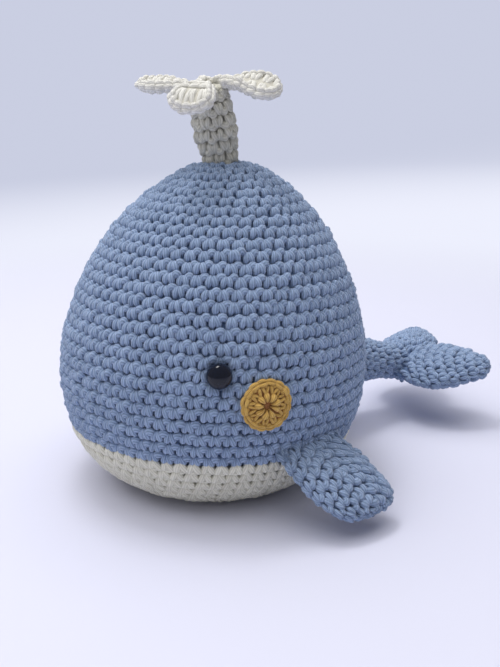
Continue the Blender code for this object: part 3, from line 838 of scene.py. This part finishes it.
def fluke_place(side):
    end = tail_frame(TAIL_LENGTH)
    pivot = end @ Vector((0.0, -side * FLUKE_ROOT_OFFSET, 0.0))
    turn = (Matrix.Rotation(-side * FLUKE_SPREAD, 4, "Z") @ Matrix.Rotation(FLUKE_PITCH, 4, "Y")
            @ Matrix.Rotation(side * FLUKE_ROLL, 4, "X"))
    base = Matrix.Translation(pivot) @ end.to_3x3().to_4x4() @ turn
    return lambda along: base @ Matrix.Translation((along, 0.0, 0.0))


def make_tail():
    taper = (TAIL_ROOT_RADIUS - TAIL_TIP_RADIUS) / TAIL_ROOT_RADIUS
    table = [(share, 1.0 - taper * fall) for share, fall in TAIL_SHARES]
    form = round_form(table, TAIL_LENGTH, tail_frame, TAIL_ROOT_RADIUS)
    rides = across_seam("body", "tail", tail_frame, TAIL_SEAM_REACH, 0.1, 0.9)
    cover_limb("tail", form, BLUE, rides, ("tail_stock", "tail_stuffing"))
    into_stock = tail_frame(TAIL_LENGTH).inverted()
    for side, label in SIDES:
        name, place = "fluke_" + label, fluke_place(side)
        pivot = place(0.0).translation
        out = (place(FLUKE_LENGTH).translation - pivot).normalized()

        def keep(points):
            """On the fluke's own side of the stock's middle, and beyond its seam."""
            apart = -side * moved(into_stock, points)[..., 1]
            beyond = (points - np.array(pivot)) @ np.array(out)
            return (apart > -FLUKE_MIDDLE_OVERLAP) & (beyond > -FLUKE_ROOT_OVERLAP)

        form = limb_form(FLUKE_SHARES, FLUKE_LENGTH, place, FLUKE_WIDTH, FLUKE_THICKNESS)
        rides = across_seam("tail", name, place, FLUKE_LENGTH, 0.02, 0.20)
        cover_limb(name, form, BLUE, rides, (name,), keep=keep, phase=0.3)


def spout_frame():
    return Matrix.Translation((0.0, SPOUT_SET_BACK, BODY_HEIGHT)) @ Matrix.Rotation(SPOUT_LEAN, 4, "X")


def make_stem():
    upright = spout_frame() @ Matrix.Rotation(-pi / 2.0, 4, "Y")

    def place(along):
        return upright @ Matrix.Translation((along, 0.0, 0.0))

    def keep(points):
        return points[..., 2] > BODY_HEIGHT - STEM_ROOT_OVERLAP

    form = round_form(SPOUT_SHARES, SPOUT_HEIGHT, place, SPOUT_RADIUS)
    rides = across_seam("body", "spout", place, STEM_SEAM_REACH, 0.3, 0.7)
    cover_limb("stem", form, PAINTED_SHADE_CREAM, rides, ("spout_stem", "spout_stuffing"), keep=keep,
               stitch=stitch_of(CROCHET, yarn=STEM_YARN), height=STEM_ROUND_HEIGHT,
               first=SPOUT_RADIUS - STEM_ROUND_HEIGHT, flip=True)


def petal_frame(number):
    """The petal's place along its bend: local X runs on, local Z is up."""
    heading = PETAL_HEADINGS[number]
    pivot = spout_frame() @ Vector((SPOUT_RADIUS * cos(heading), SPOUT_RADIUS * sin(heading), SPOUT_HEIGHT))
    base = Matrix.Translation(pivot) @ Matrix.Rotation(heading, 4, "Z")
    bend = (PETAL_RISE + PETAL_DROOPS[number]) / PETAL_LENGTH

    def place(along):
        tilt = bend * along - PETAL_RISE
        offset = Vector(((sin(tilt) + sin(PETAL_RISE)) / bend, 0.0, (cos(tilt) - cos(PETAL_RISE)) / bend))
        roll = PETAL_ROLLS[number] * smooth(min(max(along / (PETAL_ROLL_SHARE * PETAL_LENGTH), 0.0), 1.0))
        return (base @ Matrix.Translation(offset) @ Matrix.Rotation(tilt, 4, "Y")
                @ Matrix.Rotation(roll, 4, "X"))

    return place


# Petals: a chain along the rim, posts within it, and a leaf behind them
PETAL_YARN = 0.00094
PETAL_CHAIN_WIDTH = 0.0030
PETAL_CHAIN_PITCH = 0.0030
PETAL_RIM_INSET = 0.0013
PETAL_RIM_RISE = 0.0006
PETAL_TIP_LENGTH = 0.0052
PETAL_BAR_PITCH = 0.0020
PETAL_BAR_PAIRING = 0.00035
PETAL_BAR_RISE = 0.0010
PETAL_BAR_FLATTEN = 0.95
# How much painted shade the petals' posts take: 0 is the darkest, 1 the lightest
PETAL_BAR_PAINTED_SHADE = 0.75
PETAL_SPINES = (0.17, 0.38)
PETAL_LEAF_HALF = 0.0012
PETAL_LEAF_LEAST = 0.0005
# The petal that points at the camera is worked lengthwise from this share of its length
FRONT_PETAL = 1
FRONT_POSTS_START = 0.44


def petal_half_width(along):
    return interpolate(PETAL_SHARES, 1, np.asarray(along) / PETAL_LENGTH) * PETAL_WIDTH / 2.0


def petal_edge():
    """The middle of the rim, from the root round the tip: rows of along and across."""
    centre = PETAL_LENGTH - PETAL_RIM_INSET - PETAL_TIP_LENGTH
    along = np.linspace(-0.05 * PETAL_LENGTH, centre, 40)
    half = petal_half_width(along) - PETAL_RIM_INSET
    turn = np.linspace(0.0, pi, 31)[1:-1]
    tip = np.stack([centre + PETAL_TIP_LENGTH * np.sin(turn), -half[-1] * np.cos(turn)], axis=1)
    return np.concatenate([np.stack([along, -half], axis=1), tip, np.stack([along, half], axis=1)[::-1]])


def lay_petal_rim(mass, link, place, face):
    """A chain along the rim on one face, turned outwards."""
    edge = petal_edge()
    heading = np.gradient(edge, axis=0)
    heading /= np.linalg.norm(heading, axis=1, keepdims=True)
    path, ups, sides = [], [], []
    for (along, across), (run, over) in zip(edge, heading):
        here = place(along)
        turn = here.to_3x3()
        out = turn @ Vector((over, -run, 0.0))
        facing = (0.70 * out + 0.71 * face * (turn @ Vector((0.0, 0.0, 1.0)))).normalized()
        path.append(here @ Vector((0.0, across, face * PETAL_RIM_RISE)))
        ups.append(facing)
        sides.append((turn @ Vector((run, over, 0.0))).cross(facing))
    lay_on_path(mass, link, path, sides, ups)


def lay_bar(mass, place, route):
    """One strand through places along, across and up of a petal."""
    bar = Template([tube(route, [PETAL_YARN * share for share in BAR_SHAPE], PETAL_BAR_FLATTEN)])
    laid = np.array([np.array(place(x) @ Vector((0.0, y, z))) for x, y, z in bar.points])
    mass.add(bar, laid[None], rng.random(), PETAL_BAR_PAINTED_SHADE)


def lay_front_posts(mass, place, face):
    """Posts along the petal, in pairs that lean together."""
    rise = face * PETAL_BAR_RISE
    near = FRONT_POSTS_START * PETAL_LENGTH
    half = float(petal_half_width(0.70 * PETAL_LENGTH)) - 1.4 * PETAL_RIM_INSET
    bars = round(2.0 * half / PETAL_BAR_PITCH)
    for bar in range(bars):
        across = (bar + 0.5 - bars / 2.0) * PETAL_BAR_PITCH + rng.normal(0.0, 0.00018)
        pairing = PETAL_BAR_PAIRING * (1.0 if bar % 2 else -1.0)
        end = PETAL_LENGTH - PETAL_RIM_INSET - 0.35 * abs(across)
        shift = rng.normal(0.0, 0.0003)
        lay_bar(mass, place, [
            (near, 0.8 * across - pairing, 0.2 * rise),
            (near + 0.25 * (end - near), 0.9 * across - pairing, rise),
            (near + 0.6 * (end - near), across + shift, 1.15 * rise),
            (end, across + pairing, 0.3 * rise)])


def lay_side_posts(mass, place, face):
    """Posts from the petal's middle to its rim on both sides, in pairs that lean together."""
    rise = face * PETAL_BAR_RISE
    for side, _ in SIDES:
        for bar in range(int(0.90 * PETAL_LENGTH / PETAL_BAR_PITCH)):
            along = (bar + 0.6) * PETAL_BAR_PITCH + rng.normal(0.0, 0.00018)
            pairing = PETAL_BAR_PAIRING * (1.0 if bar % 2 else -1.0)
            half = float(petal_half_width(along)) - PETAL_RIM_INSET
            lean = 0.0005 + rng.normal(0.0, 0.0003)
            lay_bar(mass, place, [
                (along - lean - pairing, side * 0.0003, 0.5 * rise),
                (along - 0.4 * lean - pairing, side * 0.32 * half, rise),
                (along, side * 0.68 * half, 1.15 * rise),
                (along + lean + pairing, side * half, 0.3 * rise)])


def lay_petal_spines(mass, link, place, face):
    """Chains across the petal, between its root and its lengthwise posts."""
    for share in PETAL_SPINES:
        here = place(share * PETAL_LENGTH)
        half = float(petal_half_width(share * PETAL_LENGTH)) - 0.7 * PETAL_RIM_INSET
        across = np.linspace(-half, half, 12)
        path = [here @ Vector((0.0, place_on, face * PETAL_BAR_RISE)) for place_on in across]
        beside, above = (here.to_3x3() @ Vector(way) for way in ((face, 0.0, 0.0), (0.0, 0.0, face)))
        lay_on_path(mass, link, path, [beside] * len(path), [above] * len(path))


def make_petals():
    link = stitch_of(CHAIN, PETAL_CHAIN_WIDTH, PETAL_CHAIN_PITCH, PETAL_YARN)
    for number in range(4):
        name, node = f"petal_{number + 1}", f"spout_petal_{number + 1}"
        place = petal_frame(number)
        mass = Mass()
        for face in (1.0, -1.0):
            lay_petal_rim(mass, link, place, face)
            if number == FRONT_PETAL:
                lay_front_posts(mass, place, face)
                lay_petal_spines(mass, link, place, face)
            else:
                lay_side_posts(mass, place, face)
        rides = across_seam("spout", name, place, PETAL_LENGTH, 0.10, 0.25)
        dress(mass.build(name + "_yarn", PAINTED_LIGHT_CREAM[0]), rides, PAINTED_LIGHT_CREAM[2], node, fill=0.3)
        rings = []
        across, up = circle(24)
        for along in np.linspace(-0.02 * PETAL_LENGTH, PETAL_LENGTH - PETAL_RIM_INSET, 24):
            here = place(along)
            half = max(PETAL_LEAF_LEAST, float(petal_half_width(along)) - PETAL_RIM_INSET)
            rings.append([here @ Vector((0.0, half * a, PETAL_LEAF_HALF * b)) for a, b in zip(across, up)])
        dress(closed_skin(name + "_backing", rings, PAINTED_LIGHT_CREAM[1]), rides, PAINTED_LIGHT_CREAM[2], node, fill=0.3)


# Cheeks: lobes round a hole, a round of open stitches, and a chain along the rim
CHEEK_YARN = 0.00064
CHEEK_INNER_YARN = 0.00104
CHEEK_THICKNESS = 0.0019
CHEEK_BACKING_DEPTH = 0.0008
CHEEK_HOLE = 0.0015
CHEEK_LOBES = 9
CHEEK_INNER_HEIGHT = 0.0024
CHEEK_OUTER_STITCHES = 12
CHEEK_OUTER_HEIGHT = 0.0031
CHEEK_RIM_PITCH = 0.0030
CHEEK_RIM_WIDTH = 0.0021
CHEEK_RIM_YARN = 0.00060
CHEEK_RIM_INSET = 0.0010
CHEEK_RIM_RISE = 0.0009
# Shares of the disc's radius as the work goes out and round the rim, and of its thickness
CHEEK_SHARES = (
    (0.0, 0.0, 0.92), (0.3, 0.30, 1.0), (0.6, 0.60, 1.0), (0.82, 0.82, 0.92), (0.94, 0.94, 0.72),
    (1.02, 1.0, 0.30), (1.10, 1.0, -0.3))


def body_fall(x, y):
    """How far the body falls away from its tangent at a place across and up from it."""
    return x * x / (2.0 * BODY_RADIUS) + y * y / (2.6 * BODY_RADIUS)


def disc_form(place):
    """A small cushion on the body, from its centre out and round its rim, bent with the body."""
    across, up = circle(180)
    shares = np.linspace(0.0, CHEEK_SHARES[-1][0], 50)
    reaches = np.clip(interpolate(CHEEK_SHARES, 1, shares), 0.0, None) * CHEEK_RADIUS
    rises = interpolate(CHEEK_SHARES, 2, shares) * CHEEK_THICKNESS
    rings = []
    for reach, rise in zip(reaches, rises):
        x, y = across * reach, up * reach
        rings.append(moved(place, np.stack([x, y, rise - body_fall(x, y)], axis=1)))
    return Form(rings, steps=120, around=180)


def make_cheeks():
    reach = CHEEK_HOLE + CHEEK_INNER_HEIGHT
    inner = stitch_of(CHEEK_LOBE, 2.0 * pi * reach / CHEEK_LOBES, CHEEK_INNER_HEIGHT, CHEEK_INNER_YARN)
    outer = stitch_of(OPEN_STITCH, 2.0 * pi * (reach + CHEEK_OUTER_HEIGHT) / CHEEK_OUTER_STITCHES,
                      CHEEK_OUTER_HEIGHT, CHEEK_YARN)
    link = stitch_of(RIM_LINK, CHEEK_RIM_WIDTH, CHEEK_RIM_PITCH, CHEEK_RIM_YARN)
    rim = CHEEK_RADIUS - CHEEK_RIM_INSET
    for side, label in SIDES:
        name = "cheek_" + label
        place = surface_frame(CHEEK_HEIGHT, CHEEK_AZIMUTH, side)
        turned = place.to_3x3()
        form = disc_form(place)
        mass = Mass()
        lay_round(mass, form, inner, CHEEK_HOLE, CHEEK_INNER_HEIGHT, CHEEK_LOBES, 0.1, sink=0.0003)
        lay_round(mass, form, outer, reach, CHEEK_OUTER_HEIGHT, CHEEK_OUTER_STITCHES, 0.3, sink=0.0008)
        path, sides, ups = [], [], []
        for turn in np.linspace(0.0, 2.0 * pi, 121):
            x, y = rim * cos(turn), rim * sin(turn)
            path.append(place @ Vector((x, y, CHEEK_RIM_RISE - body_fall(x, y))))
            ups.append((turned @ Vector((0.5 * cos(turn), 0.5 * sin(turn), 0.87))).normalized())
            sides.append((turned @ Vector((-sin(turn), cos(turn), 0.0))).cross(ups[-1]))
        lay_on_path(mass, link, path, sides, ups, closed=True)
        dress(mass.build(name + "_yarn", MUSTARD[0]), "body", MUSTARD[2], name, fill=0.3)
        shell = backing(name + "_backing", form, CHEEK_BACKING_DEPTH, MUSTARD[1], rows=30, columns=60)
        dress(shell, "body", MUSTARD[2], name, fill=0.3)


def make_eyes():
    finish = Finish("eye_plastic", 0.04, 0.35)
    finish.feed(finish.shader, {"Base Color": (0.006, 0.008, 0.018, 1.0)})
    profile = [(sin(turn), EYE_DOME_HEIGHT * cos(turn)) for turn in np.linspace(0.02, pi / 2.0, 18)]
    profile += EYE_DOME_EDGE
    across, up = EYE_DOME_RADIUS * np.array(circle(48))
    for side, label in SIDES:
        place = surface_frame(EYE_HEIGHT, EYE_AZIMUTH, side)
        rings = [[place @ Vector((share * a, share * b, rise + EYE_DOME_LIFT)) for a, b in zip(across, up)]
                 for share, rise in profile]
        dress(closed_skin(f"eye_{label}_dome", rings, finish.material), "body", "eye_plastic", "eye_" + label)


def finish_washers():
    """The washers inside the body keep their CAD form."""
    finish = grained_finish("washer_plastic", (0.85, 0.85, 0.85), 0.45, 900.0, 0.15, 0.0001)
    for _, label in SIDES:
        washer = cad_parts["eye_washer_" + label]
        washer.data.materials.clear()
        washer.data.materials.append(finish)


make_body()
make_fins()
make_tail()
make_stem()
make_petals()
make_cheeks()
make_eyes()
finish_washers()

# Stage, light and camera

CAMERA_AZIMUTH = radians(54.0)
CAMERA_DISTANCE = 0.3100
CAMERA_HEIGHT = 0.14106
CAMERA_PITCH = radians(15.73)
CAMERA_YAW = radians(2.40)
CAMERA_ROLL = radians(-0.38)
CAMERA_SHIFT = 0.0013
CAMERA_LENS = 60.6


def make_camera():
    """The camera stands at its azimuth from the nose, and its axes follow pitch, yaw and roll."""
    turn = Matrix.Rotation(CAMERA_AZIMUTH, 3, "Z")
    level = cos(CAMERA_PITCH)
    forward = Vector((sin(CAMERA_YAW) * level, cos(CAMERA_YAW) * level, -sin(CAMERA_PITCH)))
    right = Vector((cos(CAMERA_YAW), -sin(CAMERA_YAW), 0.0))
    up = right.cross(forward)
    place = Vector((0.0, -CAMERA_DISTANCE, CAMERA_HEIGHT)) + CAMERA_SHIFT * right
    rolled_right = cos(CAMERA_ROLL) * right + sin(CAMERA_ROLL) * up
    rolled_up = cos(CAMERA_ROLL) * up - sin(CAMERA_ROLL) * right
    axes = Matrix((turn @ rolled_right, turn @ rolled_up, -(turn @ forward))).transposed()
    data = bpy.data.cameras.new("camera")
    data.sensor_fit = "HORIZONTAL"
    data.sensor_width = 36.0
    data.lens = CAMERA_LENS
    data.clip_start = 0.01
    camera = bpy.data.objects.new("camera", data)
    bpy.context.scene.collection.objects.link(camera)
    camera.matrix_world = Matrix.Translation(turn @ place) @ axes.to_4x4()
    bpy.context.scene.camera = camera


STAGE_FRONT = 2.0
STAGE_DEPTH = 1.5
STAGE_BEND = 1.0
STAGE_TOP = 3.0
STAGE_SIDE = 3.5
# The distance's painted glow reads nearer on the right, where its paler part runs higher
STAGE_LEAN = -0.6
STAGE_COLOUR = (0.690, 0.700, 0.835, 1.0)
# Painted light: the distance glows from a pale near colour to a darker far one
PAINTED_GLOW_COLOURS = ((0.85, 0.87, 0.99), (0.590, 0.620, 0.760))


def stage_finish():
    """A pale floor that takes shadows near the whale and runs into a distance that glows for the camera,
    painted paler near and darker further off as light that falls away.
    """
    made = Finish("stage", 0.75, 0.1)
    made.feed(made.shader, {"Base Color": STAGE_COLOUR})
    place = made.node("NewGeometry", {}, "Position")
    right = (cos(CAMERA_AZIMUTH), sin(CAMERA_AZIMUTH), 0.0)
    away = made.node("VectorMath", {0: place}, "Value", operation="LENGTH")
    aside = made.node("VectorMath", {0: place, 1: right}, "Value", operation="DOT_PRODUCT")
    reach = made.maths("MULTIPLY_ADD", aside, STAGE_LEAN, away)
    # Painted light: the glow's colour, paler near the whale and darker further off
    distance = made.mix(made.ease(reach, 0.55, 1.55), *PAINTED_GLOW_COLOURS)
    glow = made.node("Emission", {"Color": distance}, "Emission")
    seen = made.maths("MULTIPLY", made.node("LightPath", {}, "Is Camera Ray"), made.ease(away, 0.22, 0.60))
    shown = made.node("MixShader", {0: seen, 1: made.shader.outputs["BSDF"], 2: glow}, "Shader")
    made.feed(made.tree.nodes["Material Output"], {"Surface": shown})
    return made.material


def make_stage():
    """A floor that bends up into a backdrop behind the whale, as the camera sees it."""
    profile = [(-STAGE_FRONT, 0.0), (STAGE_DEPTH, 0.0)]
    profile += [(STAGE_DEPTH + STAGE_BEND * sin(turn), STAGE_BEND * (1.0 - cos(turn)))
                for turn in np.linspace(0.0, pi / 2.0, 24)[1:]]
    profile.append((STAGE_DEPTH + STAGE_BEND, STAGE_TOP))
    points = [(side, along, height) for along, height in profile for side in (-STAGE_SIDE, STAGE_SIDE)]
    faces = [(row * 2, row * 2 + 1, row * 2 + 3, row * 2 + 2) for row in range(len(profile) - 1)]
    mesh = bpy.data.meshes.new("floor")
    mesh.from_pydata(points, [], faces)
    mesh.transform(Matrix.Rotation(CAMERA_AZIMUTH, 4, "Z"))
    mesh.shade_smooth()
    add_piece("floor", mesh, stage_finish())


LIGHT_TARGET = (0.0, 0.0, 0.05)


def area_light(name, place, size, power, colour, glossy=True):
    data = bpy.data.lights.new(name, "AREA")
    data.shape = "RECTANGLE"
    data.size, data.size_y = size
    data.energy = power
    data.color = colour
    light = bpy.data.objects.new(name, data)
    bpy.context.scene.collection.objects.link(light)
    light.location = place
    light.visible_glossy = glossy
    light.rotation_euler = (Vector(LIGHT_TARGET) - Vector(place)).to_track_quat("-Z", "Y").to_euler()


def make_light():
    """Soft light from above and a little behind, to the camera's left, a faint one from the nose's side,
    a small window that shines in the eyes, and pale light all round."""
    area_light("key", (-0.24, -0.09, 1.25), (2.0, 2.0), 22.0, (1.0, 0.99, 0.98), glossy=False)
    area_light("front", (0.05, -0.75, 0.60), (0.8, 0.8), 0.7, (1.0, 0.99, 0.97), glossy=False)
    area_light("window", (-0.17, -0.03, 0.85), (0.28, 0.17), 1.8, (1.0, 1.0, 1.0))
    world = bpy.data.worlds.new("world")
    bpy.context.scene.world = world
    world.use_nodes = True
    sky = world.node_tree.nodes["Background"]
    sky.inputs["Color"].default_value = (0.92, 0.91, 0.91, 1.0)
    sky.inputs["Strength"].default_value = 0.30
    bpy.context.scene.view_settings.view_transform = "Standard"


make_camera()
make_stage()
make_light()
